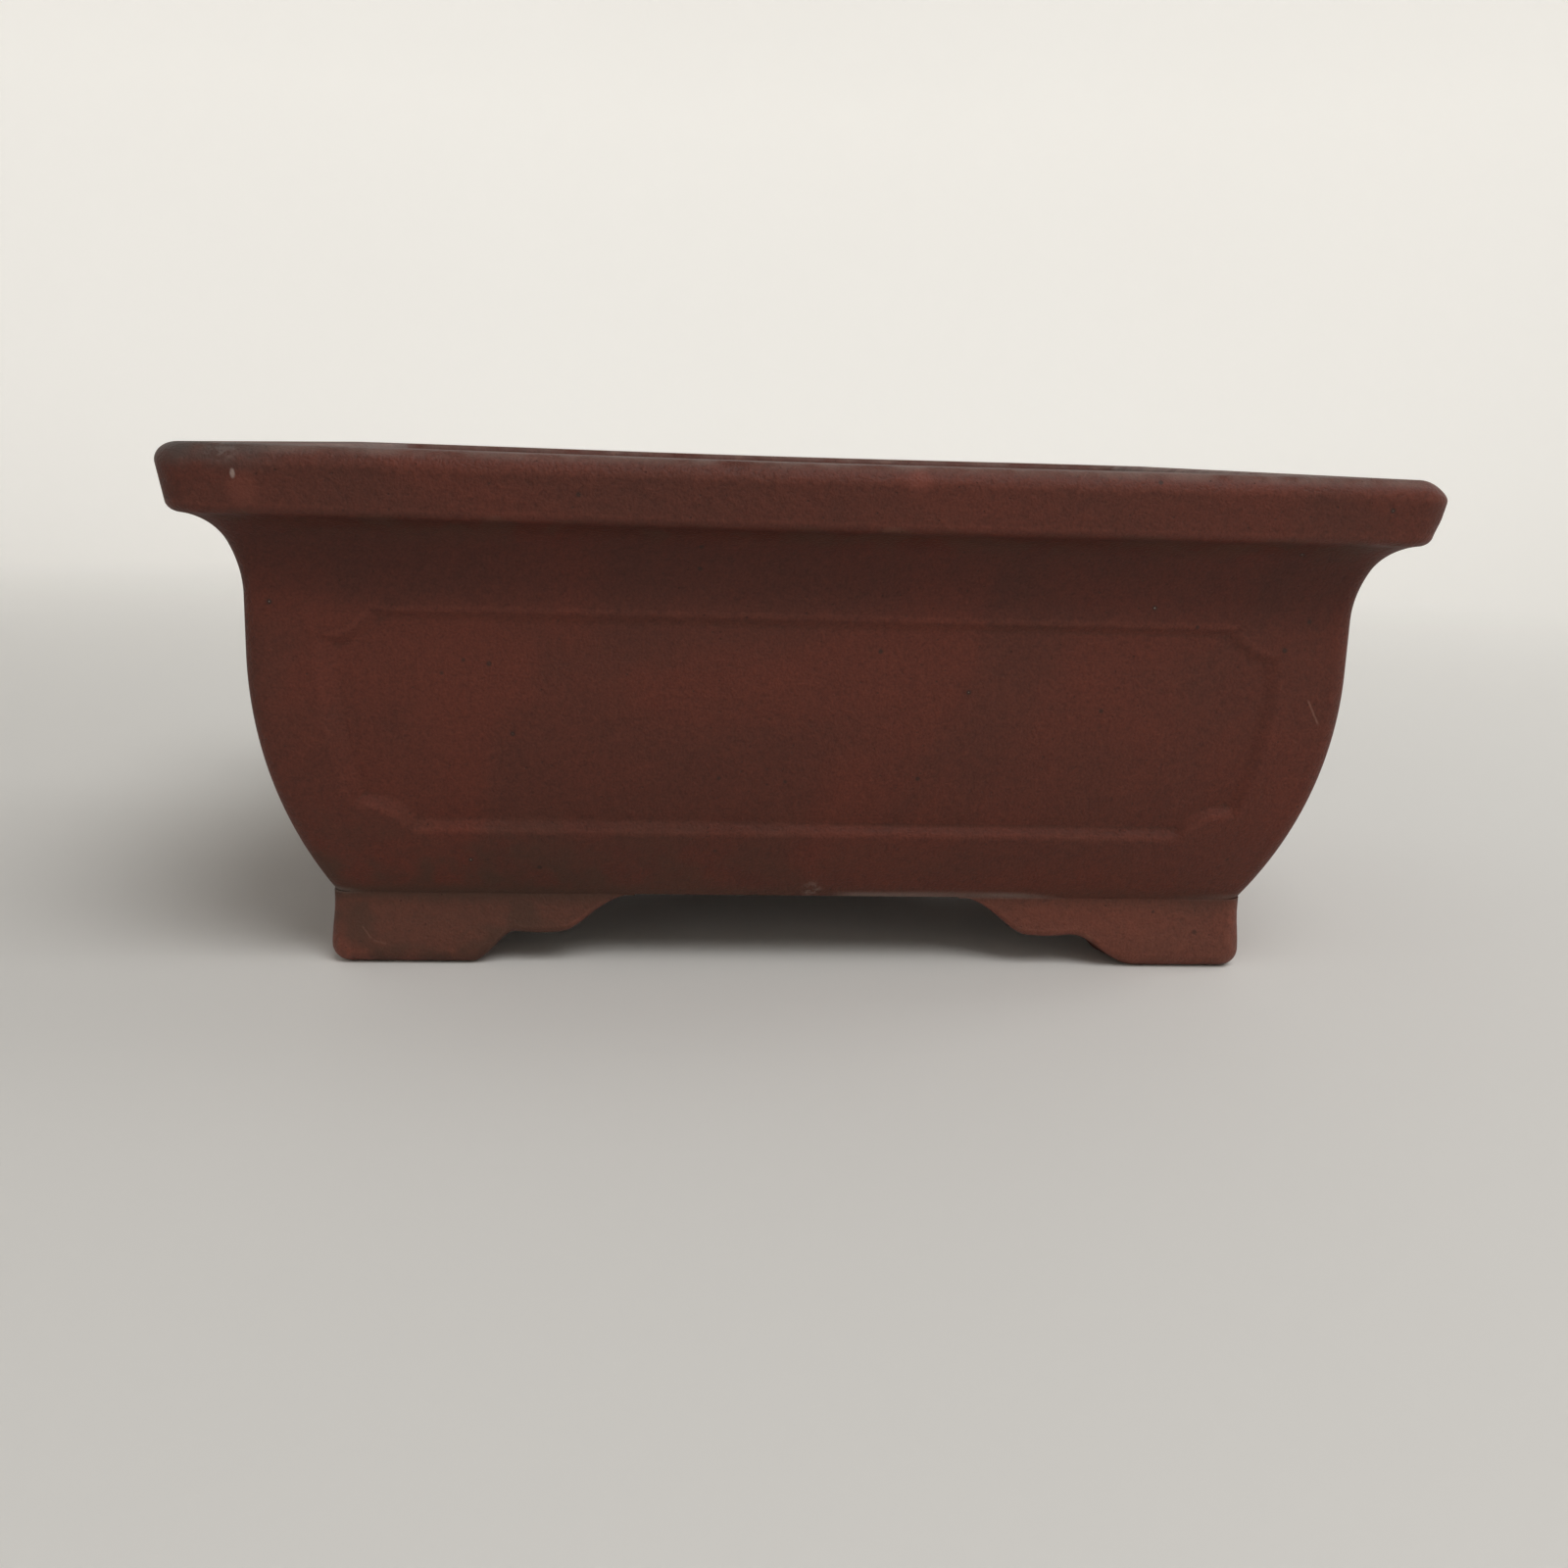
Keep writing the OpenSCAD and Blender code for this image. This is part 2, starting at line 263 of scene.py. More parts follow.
def hand_warp(p):
    """What hands and the kiln did: faces wander in, long rims sag, and the right end of the lip is rubbed.

    The wander scales x and y by one less a small drift; the sag is the square of a cosine along the
    length; the rubbing pulls the lip's upper and lower edges in over its last few millimetres."""
    s = shape()
    x, y, z = p[..., 0], p[..., 1], p[..., 2]
    squeeze_x = s.wander_x / HALF_L * drift(y, z, 1.3)
    squeeze_y = s.wander_y / HALF_W * drift(x, z, 4.1)
    lip_middle = TOP - 4.3 * MM
    at_end = ease((x - HALF_L + 5 * MM) / (5 * MM))
    at_edge = ease((np.abs(z - lip_middle) - 0.8 * MM) / (3.2 * MM)) * ease((z - 0.8 * TOP) / (0.1 * TOP))
    x = x - s.rubbed * at_end * at_edge
    z = z - s.rubbed * at_end * ease((z - lip_middle) / (TOP - lip_middle))
    long_run = np.cos(0.5 * math.pi * np.clip(x / HALF_L, -1, 1)) ** 2
    sag = s.sag * ease((z - 0.7 * TOP) / (0.3 * TOP)) * long_run
    return np.stack([x * (1 - squeeze_x), y * (1 - squeeze_y), z - sag], -1)


def side_point(side, u, inset, height, radius):
    """A point on a rounded rectangle: u from -1 to 1 runs along the side and beyond it turns the corner."""
    half, other = (HALF_W, HALF_L) if side in ("front", "back") else (HALF_L, HALF_W)
    turn = np.clip(np.abs(u) - 1, 0, None) * math.pi / 4
    run = np.clip(u, -1, 1) * (other - inset - radius) + np.sign(u) * radius * np.sin(turn)
    out = half - inset - radius + radius * np.cos(turn)
    x, y = {"front": (run, -out), "back": (-run, out), "right": (out, run), "left": (-out, -run)}[side]
    x, y, z = np.broadcast_arrays(x, y, height)
    return hand_warp(np.stack([x, y, z], -1))


def along(corner_steps, run_steps):
    """Values of u from mitre to mitre: half a corner, the straight run, half a corner."""
    c = np.linspace(1, 2, corner_steps + 1)
    return np.concatenate([-c[:0:-1], np.linspace(-1, 1, run_steps + 1), c[1:]])


class Strip:
    """A grid of points that is one side of a closed loop, with its normals, curvature and insideness."""

    def __init__(self, points, normals, bend, inside):
        self.points = points
        self.normals = normals
        self.bend = bend
        self.inside = np.full(points.shape[:2], inside)


def bulge(points, normals, ahead, behind):
    """Curvature in one direction, per metre: how far the surface stands above its two neighbours."""
    rise = ((2 * points - ahead - behind) * normals).sum(-1)
    span = ((ahead - behind) ** 2).sum(-1) / 4
    return rise / (span + 1e-9)


def smooth_strip(surface, u, v, du=0.002, dv=0.05 * MM, inside=0.0, reach=(0.015, 0.9 * MM)):
    """A surface of u and v sampled on a grid.

    Each normal is the cross product of the small steps du and dv, and the curvature is taken over reach."""
    uu, vv = u[:, None], v[None, :]
    points = surface(uu, vv)
    normals = np.cross(surface(uu + du, vv) - surface(uu - du, vv),
                       surface(uu, vv + dv) - surface(uu, vv - dv))
    normals = normals / (np.linalg.norm(normals, axis=-1, keepdims=True) + 1e-20)
    bend = sum(bulge(points, normals, surface(uu + a, vv + b), surface(uu - a, vv - b))
               for a, b in ((reach[0], 0.0), (0.0, reach[1])))
    return Strip(points, normals, bend, inside)


def flat_strip(a, b):
    """A hidden or plain strip that joins the last row of one strip to the first row of another."""
    normal = np.cross(np.gradient(a, axis=0), b - a)
    normal /= np.linalg.norm(normal, axis=-1, keepdims=True) + 1e-20
    return Strip(np.stack([a, b], 1), np.stack([normal, normal], 1), np.zeros((len(a), 2)), 0.0)


def closed_piece(name, strips, flip=False):
    """Joins strips into a tube whose rows close on themselves, caps both ends and makes the mesh object.

    flip turns faces, normals and curvature over, for a piece mirrored across one axis."""
    facing = -1.0 if flip else 1.0
    rows = [b.points[:, :-1] for b in strips]
    verts = np.concatenate(rows, 1)
    n_u, n_v = verts.shape[:2]
    index = np.arange(n_u * n_v).reshape(n_u, n_v)
    quads, normals, at = [], [], 0
    for b in strips:
        k = b.points.shape[1] - 1
        j = (at + np.arange(k + 1)) % n_v
        low, high = index[:, j[:-1]], index[:, j[1:]]
        q = np.stack([low[:-1], low[1:], high[1:], high[:-1]], -1)
        nn = np.stack([b.normals[:-1, :-1], b.normals[1:, :-1], b.normals[1:, 1:], b.normals[:-1, 1:]], 2)
        quads.append(q.reshape(-1, 4))
        normals.append(facing * nn.reshape(-1, 4, 3))
        at += k
    quads, normals = np.concatenate(quads), np.concatenate(normals)
    caps = [index[0], index[-1][::-1]]
    if flip:
        quads, normals = quads[:, ::-1], normals[:, ::-1]
        caps = [c[::-1] for c in caps]
    flat = verts.reshape(-1, 3)
    cap_normals = [np.repeat(polygon_normal(flat[c])[None], len(c), 0) for c in caps]
    obj = make_object(name, flat, quads, caps, np.concatenate([normals.reshape(-1, 3)] + cap_normals))
    mark(obj, "bend", facing * np.concatenate([b.bend[:, :-1] for b in strips], 1))
    mark(obj, "inside", np.concatenate([b.inside[:, :-1] for b in strips], 1))
    return obj


def mark(obj, name, values):
    """Stores one number for each vertex, for the clay's wear, dirt, painted shade and painted highlight to
    read.
    """
    layer = obj.data.attributes.new(name, "FLOAT", "POINT")
    layer.data.foreach_set("value", values.astype(np.float32).ravel())


def welded_piece(name, grids, inside):
    """Joins grids of points whose edges meet exactly into one closed surface with crisp hard edges."""
    verts, quads, at = [], [], 0
    for g in grids:
        index = at + np.arange(g.shape[0] * g.shape[1]).reshape(g.shape[:2])
        corners = np.stack([index[:-1, :-1], index[1:, :-1], index[1:, 1:], index[:-1, 1:]], -1)
        quads.append(corners.reshape(-1, 4))
        verts.append(g.reshape(-1, 3))
        at += g.shape[0] * g.shape[1]
    verts, quads = np.concatenate(verts), np.concatenate(quads)
    _, first, shared = np.unique(np.round(verts / 1e-7).astype(np.int64), axis=0, return_index=True,
                                 return_inverse=True)
    obj = make_object(name, verts[first], shared.reshape(-1)[quads], [], None)
    obj.data.set_sharp_from_angle(angle=math.radians(40))
    mark(obj, "bend", np.zeros(len(first)))
    mark(obj, "inside", np.full(len(first), inside))
    return obj


def polygon_normal(points):
    """Normal of a closed outline: the sum of cross products of neighbouring points."""
    n = np.cross(points, np.roll(points, -1, 0)).sum(0)
    return n / (np.linalg.norm(n) + 1e-20)


def make_object(name, verts, quads, polygons, loop_normals):
    """Puts points, quads and a few larger polygons into a mesh object, with its own corner normals."""
    mesh = bpy.data.meshes.new(name)
    loops = np.concatenate([quads.ravel()] + [np.asarray(c) for c in polygons])
    sizes = np.array([4] * len(quads) + [len(c) for c in polygons])
    mesh.vertices.add(len(verts))
    mesh.vertices.foreach_set("co", verts.astype(np.float32).ravel())
    mesh.loops.add(len(loops))
    mesh.loops.foreach_set("vertex_index", loops.astype(np.int32))
    mesh.polygons.add(len(sizes))
    mesh.polygons.foreach_set("loop_start", np.concatenate([[0], np.cumsum(sizes)[:-1]]).astype(np.int32))
    mesh.update(calc_edges=True)
    if mesh.validate():
        raise ValueError(name + ": the mesh had faults")
    mesh.polygons.foreach_set("use_smooth", np.ones(len(sizes), bool))
    if loop_normals is not None:
        mesh.normals_split_custom_set(loop_normals.astype(np.float32).tolist())
    obj = bpy.data.objects.new(name, mesh)
    bpy.context.scene.collection.objects.link(obj)
    return obj


def settle(obj, node, material):
    """Dresses a finished piece, rides it on the pot and lets it stand for its frame node."""
    obj.data.materials.append(material)
    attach(obj, "root")
    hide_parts(node)


# ---------------------------------------------------------------- the clay members

def panel_sink(side, run, z):
    """Depth of the sunk panel at a place on the wall.

    The distance inside the outline is the least of the distances to the four edges and the four scoops,
    and the depth rises from 0 to full over the ledge's width."""
    s = shape()
    other = HALF_L if side in ("front", "back") else HALF_W
    edge = other - s.panel_margin
    in_side = edge - body_inset(z) - np.abs(run)
    inside = np.minimum(np.minimum(in_side, z - s.panel_low), s.panel_high - z)
    for height in (s.panel_low - s.notch_shift, s.panel_high + s.notch_shift):
        level = s.panel_low if height < s.belly_z else s.panel_high
        centre = edge - body_inset(np.array(level))
        inside = np.minimum(inside, np.hypot(np.abs(run) - centre, z - height) - s.notch_r)
    level = (z - s.panel_low) / (s.panel_high - s.panel_low)
    softness = s.ledge * (0.9 + 0.2 * ease(level) + 0.6 * drift(run, z, 2.2))
    depth = s.panel_depth * (1.0 - 0.1 * ease(level))
    return depth * ease((inside + 0.4 * softness) / softness)


def wall(side):
    """One wall slab: outer face with its panel, top, inside face and underside."""
    s = shape()
    run_out, run_in = outer_run(), inner_run()
    s_top = run_out.end["wall"]
    other = HALF_L if side in ("front", "back") else HALF_W

    def outside(u, v):
        inset, z = run_out.at(v)
        radius = s.body_corner + (s.rim_corner - s.body_corner) * ease((s.rim_reach - inset) / s.rim_reach)
        run = np.clip(u, -1, 1) * (other - inset - radius)
        depth = panel_sink(side, run, np.broadcast_to(z, np.broadcast_shapes(run.shape, z.shape)))
        n_out, n_up = run_out.normal(v)
        return side_point(side, u, inset + depth * n_out, z - depth * n_up, radius)

    def inside(u, v):
        inset, z = run_in.at(v)
        return side_point(side, u, inset, z, 1.0 * MM)

    u = along(8, 320 if side in ("front", "back") else 240)
    face = smooth_strip(outside, u, np.linspace(0, s_top, 118))
    back = smooth_strip(inside, u, np.linspace(0, run_in.s[-1], 30), inside=1.0)
    crown = flat_strip(face.points[:, -1], back.points[:, 0])
    sole = flat_strip(back.points[:, -1], face.points[:, 0])
    return closed_piece("wall_" + side, [face, crown, back, sole])


def rim(side):
    """One lip strip: cove, lip, top land, inner edge and inner face, on a flat joint with the wall."""
    s = shape()
    run_out = outer_run()
    end = run_out.end

    def rim_radius(v):
        inset, _ = run_out.at(v)
        outer = s.body_corner + (s.rim_corner - s.body_corner) * ease((s.rim_reach - inset) / s.rim_reach)
        inner = np.interp(v, [end["high"], end["land"]], [s.rim_corner, s.rim_corner - 1 * MM])
        return np.where(v < end["low"], outer, inner)

    def skin(u, v):
        inset, z = run_out.at(v)
        return side_point(side, u, inset, z, rim_radius(v))

    bend_in = end["high"] - 4.2 * MM
    land_in = end["land"] - 2.0 * MM
    marks = [end["wall"], end["cove"], end["low"], bend_in, end["high"], land_in, end["land"], end["inner"]]
    counts = [24, 12, 12, 22, 12, 12, 12]
    v = np.concatenate([np.linspace(m, n, k + 1)[1:] for m, n, k in zip(marks[:-1], marks[1:], counts)])
    v = np.concatenate([marks[:1], v])
    u = along(12, 150 if side in ("front", "back") else 110)
    face = smooth_strip(skin, u, v)
    joint = flat_strip(face.points[:, -1], face.points[:, 0])
    return closed_piece("rim_" + side, [face, joint])


def cloud_height(a, reach, toe):
    """Cloud outline: flat toe, smooth step, shelf, and a rounded nose that meets the body."""
    s = shape()
    u = a / reach
    t = toe / (46 * MM)
    wave = 0.12 * MM * (np.sin(a / (1.9 * MM)) + np.sin(a / (3.1 * MM) + 1.0)) * ease(u * 8 - 3)
    rise = s.step_h * ease((u - t) / (0.62 - t)) + (FOOT_H - s.step_h) * ease((u - 0.77) / 0.23)
    return np.clip(rise + wave * ease(rise / (2 * MM)), 0.0, FOOT_H - 0.2 * MM)


def round_corner(tau, radius):
    """Distance from the sharp corner turned into distances along the arm and in from its face."""
    quarter = radius * math.pi / 4
    turn = math.pi / 4 * (1 - np.clip(tau / quarter, 0, 1))
    beyond = np.clip(tau - quarter, 0, None)
    return radius * (1 - np.sin(turn)) + beyond, radius * (1 - np.cos(turn))


def foot(corner, toe):
    """A cloud foot round one corner: face, rounded lower edge, underside, inner face and top."""
    s = shape()
    sx, sy = CORNERS[corner]
    reach_long, reach_short = foot_reaches(corner)
    widest, deep = s.foot_inset, s.foot_inset + s.foot_t

    def skin(u, v):
        u, v = np.broadcast_arrays(u, v)
        arm = u > 0
        reach = np.where(arm, reach_short, reach_long)
        other = np.where(arm, HALF_W, HALF_L)
        tau = np.abs(u) * reach
        outer_along, _ = round_corner(tau, s.body_corner)
        z0 = cloud_height(outer_along, reach, toe)
        edge_r = np.minimum((2.8 - 1.5 * ease(z0 / (3 * MM))) * MM, 0.45 * (FOOT_H - z0))
        inner_r = np.minimum(0.8 * MM, 0.4 * (FOOT_H - z0))
        face_z = FOOT_H + (z0 + edge_r - FOOT_H) * np.clip(v, 0, 1)
        face_p = widest + 0.55 * MM * ease((face_z - 2.6 * MM) / (7.2 * MM))
        b1 = np.clip(v - 1, 0, 1) * math.pi / 2
        flat = np.clip(v - 2, 0, 1)
        b2 = np.clip(v - 3, 0, 1) * math.pi / 2
        lift = np.clip(v - 4, 0, 1)
        p_edge = face_p + edge_r * (1 - np.cos(b1))
        p = p_edge + (deep - inner_r - p_edge) * flat + inner_r * np.sin(b2)
        z = face_z - edge_r * np.sin(b1) + inner_r * (1 - np.cos(b2)) * (v > 3)
        z = z + (FOOT_H - z) * lift
        shift = p - widest
        t_out = other - widest - tau
        near = 0.35 * reach
        t = t_out - shift * ease(1 - (tau / (reach - near)))
        radius = np.clip(s.body_corner - shift, 0.3 * MM, None)
        run, inward = round_corner(other - p - t, radius)
        long_x = np.where(arm, inward, run)
        long_y = np.where(arm, run, inward)
        x, y = HALF_L - p - long_x, HALF_W - p - long_y
        return hand_warp(np.stack([sx * x, sy * y, z], -1))

    turn = s.body_corner * math.pi / 4
    a, b = turn / reach_long, turn / reach_short
    u = np.concatenate([np.linspace(-1, -a, 120), np.linspace(-a, 0, 9)[1:],
                        np.linspace(0, b, 9)[1:], np.linspace(b, 1, 90)[1:]])
    v = np.concatenate([np.linspace(0, 1, 17)[:-1], np.linspace(1, 2, 11)[:-1], np.linspace(2, 3, 7)[:-1],
                        np.linspace(3, 4, 6)[:-1], np.linspace(4, 5, 9)])
    face = smooth_strip(skin, u, v, 0.0015, 0.01, 0.0, (0.02, 0.12))
    top = flat_strip(face.points[:, -1], face.points[:, 0])
    return closed_piece("foot_" + corner, [face, top], flip=sx * sy < 0)


def foot_reaches(corner):
    """Arm lengths of a foot along the length and across the width, from its frame box."""
    low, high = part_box("foot_" + corner)
    return high.x - low.x, high.y - low.y


def corner_coil(corner):
    """A coil thumbed into an upright inside seam: a hollow quarter circle that climbs the inner belly."""
    s = shape()
    sx, sy = CORNERS[corner]
    inside = inner_run()
    leg = 1.35 * s.coil
    lip = 0.25 * MM

    def skin(u, v):
        z = FLOOR_TOP + u * (WALL_TOP - FLOOR_TOP)
        inset = np.interp(z, inside.points[:-1, 1][::-1], inside.points[:-1, 0][::-1])
        angle = np.clip(v, 0, 1) * math.pi / 2
        press = 1 + 0.06 * np.sin(z / (2.9 * MM)) * np.sin(2 * angle)
        cx, cy = HALF_L - inset - leg - lip, HALF_W - inset - leg - lip
        x, y, z = np.broadcast_arrays(cx + leg * press * np.sin(angle), cy + leg * press * np.cos(angle), z)
        return hand_warp(np.stack([sx * x, sy * y, z], -1))

    u = np.linspace(0, 1, 90)
    front = smooth_strip(skin, u, np.linspace(0, 1, 15), 0.004, 0.01, 1.0, (0.02, 0.1))
    z = FLOOR_TOP + u * (WALL_TOP - FLOOR_TOP)
    inset = np.interp(z, inside.points[:-1, 1][::-1], inside.points[:-1, 0][::-1])

    def rail(dx, dy):
        return hand_warp(np.stack([sx * (HALF_L - inset - dx), sy * (HALF_W - inset - dy), z], -1))

    ends = [front.points[:, -1], rail(0, leg + lip), rail(0, 0), rail(leg + lip, 0), front.points[:, 0]]
    backs = [flat_strip(a, b) for a, b in zip(ends[:-1], ends[1:])]
    return closed_piece("corner_coil_" + corner, [front] + backs, flip=sx * sy > 0)


def cell_outline(x0, x1, y0, y1, step):
    """Points round a rectangle, anticlockwise from its lowest corner, at an even spacing on each side."""
    nx, ny = round((x1 - x0) / step), round((y1 - y0) / step)
    xs, ys = np.linspace(x0, x1, nx + 1), np.linspace(y0, y1, ny + 1)
    bottom = np.stack([xs[:-1], np.full(nx, y0)], 1)
    right = np.stack([np.full(ny, x1), ys[:-1]], 1)
    top = np.stack([xs[:0:-1], np.full(nx, y1)], 1)
    left = np.stack([np.full(ny, x0), ys[:0:-1]], 1)
    return np.concatenate([bottom, right, top, left, [[x0, y0]]])


def floor_cell(outline, centre, radius, low_z, high_z):
    """One cell of the floor: from its outline over the top, round the hole's edge and back underneath.

    Each ray from the hole's middle holds its angle; its reach goes from the outline to the edge rounding,
    which is a quarter circle, and the same again in reverse at the bottom."""
    soft = 1.1 * MM
    turn = np.linspace(0, math.pi / 2, 9)[None]
    out = outline - centre
    angle = np.arctan2(out[:, 1], out[:, 0])[:, None]
    edge = (radius + soft) * (1 + 0.012 * np.sin(3 * angle) + 0.008 * np.sin(5 * angle + 1))
    reach = np.linalg.norm(out, axis=1)[:, None]
    flat = edge + (reach - edge) * np.linspace(1, 0, 12)[None] ** 1.3
    r = np.concatenate([flat, edge - soft * np.sin(turn[:, 1:])], 1)
    down = np.concatenate([0 * flat, soft * (1 - np.cos(turn[:, 1:])) + 0 * angle], 1)
    r = np.concatenate([r, r[:, ::-1]], 1)
    z = np.concatenate([high_z - down, low_z + down[:, ::-1]], 1)
    grid = np.stack([centre[0] + r * np.cos(angle), centre[1] + r * np.sin(angle), z], -1)
    grid[:, 0, :2] = outline
    grid[:, -1, :2] = outline
    return grid


def floor_slab():
    """The floor: two columns and three rows of cells with a hole in each, and the slab's edge."""
    s = shape()
    low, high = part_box("floor_slab")
    step = 1.6 * MM
    row = s.drain_r + 5 * MM
    ys = (low.y, -row, row, high.y)
    grids = []
    for sign, x0, x1 in ((-1, low.x, 0.0), (1, 0.0, high.x)):
        for k in range(3):
            outline = cell_outline(x0, x1, ys[k], ys[k + 1], step)
            if k == 1:
                grids.append(floor_cell(outline, (sign * s.drain_x, 0.0), s.drain_r, low.z, high.z))
            else:
                centre = (sign * s.wire_x, (k - 1) * s.wire_y)
                grids.append(floor_cell(outline, centre, s.wire_r, low.z, high.z))
            for a, b in edge_runs(outline, high.x, high.y):
                foot_line = np.c_[outline[a:b], np.full(b - a, low.z)]
                top_line = np.c_[outline[a:b], np.full(b - a, high.z)]
                grids.append(np.stack([foot_line, top_line], 1))
    return welded_piece("floor_slab", grids, 1.0)


def edge_runs(outline, half_x, half_y):
    """Where a cell's outline lies on the slab's own edge: the start and end of each such run."""
    on_x = np.abs(np.abs(outline[:, 0]) - half_x) < 1e-9
    on_y = np.abs(np.abs(outline[:, 1]) - half_y) < 1e-9
    joined = np.diff(np.concatenate([[0], (on_x | on_y).astype(int), [0]]))
    return list(zip(np.nonzero(joined == 1)[0], np.nonzero(joined == -1)[0]))


def floor_coil():
    """A coil thumbed all round where walls meet floor: a hollow quarter circle swept round the inside."""
    s = shape()
    inside = inner_run()
    top = FLOOR_TOP + s.coil
    plan_r = 1.4 * s.coil

    def wall_inset(z):
        return np.interp(z, inside.points[:-1, 1][::-1], inside.points[:-1, 0][::-1])

    def skin(side, u, v):
        turn = np.clip(v, 0, 1) * math.pi / 2
        other = HALF_L if side in ("front", "back") else HALF_W
        press = 0.22 * MM * np.sin(u * other / (1.9 * MM)) * ease(2 - np.abs(u)) * np.sin(2 * turn)
        climb = np.clip(v - 1, 0, 1)
        z = FLOOR_TOP + s.coil * (1 - np.cos(turn))
        z = z + (FLOOR_TOP - top) * climb
        thick = s.coil * (1 - np.sin(turn)) + press * (v < 1)
        inset = wall_inset(z) + thick
        return side_point(side, u, inset, z, np.maximum(plan_r - thick, 1.0 * MM))

    v = np.concatenate([np.linspace(0, 1, 13), np.linspace(1, 2, 5)[1:]])
    grids = []
    for side in SIDES:
        u = along(10, 110 if side in ("front", "back") else 80)
        grid = skin(side, u[:, None], v[None, :])
        grids.append(np.concatenate([grid, grid[:, :1]], 1)[:, ::-1])
    return welded_piece("floor_coil", grids, 1.0)


class POT_OT_floor(bpy.types.Operator):
    """Build the floor slab with its drainage and tie-wire holes"""
    bl_idname = "pot.floor"
    bl_label = "Floor"

    def execute(self, context):
        settle(floor_slab(), "floor_slab", clay("floor_stoneware"))
        return {"FINISHED"}


class POT_OT_walls(bpy.types.Operator):
    """Build the four wall slabs with their sunk panels"""
    bl_idname = "pot.walls"
    bl_label = "Walls"

    def execute(self, context):
        for side in SIDES:
            settle(wall(side), "wall_" + side, clay("wall_stoneware"))
        return {"FINISHED"}


class POT_OT_rims(bpy.types.Operator):
    """Build the four lip strips"""
    bl_idname = "pot.rims"
    bl_label = "Rim"

    def execute(self, context):
        for side in SIDES:
            settle(rim(side), "rim_" + side, clay("rim_stoneware"))
        return {"FINISHED"}


class POT_OT_feet(bpy.types.Operator):
    """Build the four cloud feet"""
    bl_idname = "pot.feet"
    bl_label = "Feet"

    def execute(self, context):
        s = shape()
        for corner in CORNERS:
            toe = s.toe_left if "left" in corner else s.toe_right
            settle(foot(corner, toe), "foot_" + corner, clay("foot_stoneware"))
        return {"FINISHED"}


class POT_OT_coils(bpy.types.Operator):
    """Build the coils pressed into the inside seams"""
    bl_idname = "pot.coils"
    bl_label = "Seam coils"

    def execute(self, context):
        settle(floor_coil(), "floor_coil", clay("coil_stoneware"))
        for corner in CORNERS:
            settle(corner_coil(corner), "corner_coil_" + corner, clay("coil_stoneware"))
        return {"FINISHED"}


class POT_OT_stage(bpy.types.Operator):
    """Set up the pale sweep, the soft lights and the camera"""
    bl_idname = "pot.stage"
    bl_label = "Stage"

    def execute(self, context):
        sweep()
        lights()
        camera()
        return {"FINISHED"}


# ---------------------------------------------------------------- stage

def sweep():
    """Floor disc that turns up into a round backdrop: a profile of radius and height spun about Z."""
    st = bpy.context.scene.stage_setup
    bend = 0.35
    wall_h = 0.9
    rings = 30
    spokes = 96
    a = np.linspace(0, math.pi / 2, 25)
    r = np.concatenate([np.linspace(0.0005, st.sweep_r, rings), st.sweep_r + bend * np.sin(a)[1:],
                        [st.sweep_r + bend]])
    z = np.concatenate([np.zeros(rings), bend * (1 - np.cos(a))[1:], [wall_h]])
    spin = np.linspace(0, 2 * math.pi, spokes + 1)[:-1]
    grid = np.stack([r[None] * np.cos(spin)[:, None], r[None] * np.sin(spin)[:, None],
                     np.broadcast_to(z, (spokes, len(z)))], -1)
    index = np.arange(spokes * len(r)).reshape(spokes, len(r))
    nxt = np.roll(index, -1, 0)
    quads = np.stack([index[:, :-1], index[:, 1:], nxt[:, 1:], nxt[:, :-1]], -1).reshape(-1, 4)
    obj = make_object("sweep", grid.reshape(-1, 3), quads, [nxt[:, 0]], None)
    obj.data.materials.append(paper(st.paper))


def lights():
    """A wide soft lamp above and in front, a weak one at the right, and a pale world."""
    def area(name, place, target, size, power):
        data = bpy.data.lights.new(name, "AREA")
        data.shape = "DISK"
        data.size = size
        data.energy = power
        obj = bpy.data.objects.new(name, data)
        obj.location = place
        direction = np.array(target) - np.array(place)
        obj.rotation_mode = "QUATERNION"
        obj.rotation_quaternion = Vector(direction).to_track_quat("-Z", "Y")
        bpy.context.scene.collection.objects.link(obj)

    middle = (0, 0, 0.5 * TOP)
    area("overhead", (0.28, -0.58, 0.92), middle, 0.75, 5.8)
    area("window", (0.75, 0.10, 0.55), middle, 0.3, 0.8)
    world = bpy.data.worlds.new("pale_room")
    bpy.context.scene.world = world
    world.use_nodes = True
    back = world.node_tree.nodes["Background"]
    back.inputs["Color"].default_value = (1.0, 0.98, 0.95, 1)
    back.inputs["Strength"].default_value = 0.16
    bpy.context.scene.view_settings.view_transform = "Standard"


def camera():
    """Camera turned by yaw, then tilt, then roll about its own line of sight."""
    st = bpy.context.scene.stage_setup
    yaw, tilt, roll = st.aim
    data = bpy.data.cameras.new("camera")
    data.sensor_width = 36.0
    data.lens = st.lens
    data.clip_start = 0.01
    obj = bpy.data.objects.new("camera", data)
    turned = (Matrix.Rotation(yaw, 4, "Z") @ Matrix.Rotation(tilt + math.pi / 2, 4, "X")
              @ Matrix.Rotation(-roll, 4, "Z"))
    obj.matrix_world = Matrix.Translation(Vector(st.eye)) @ turned
    bpy.context.scene.collection.objects.link(obj)
    bpy.context.scene.camera = obj


# ---------------------------------------------------------------- materials

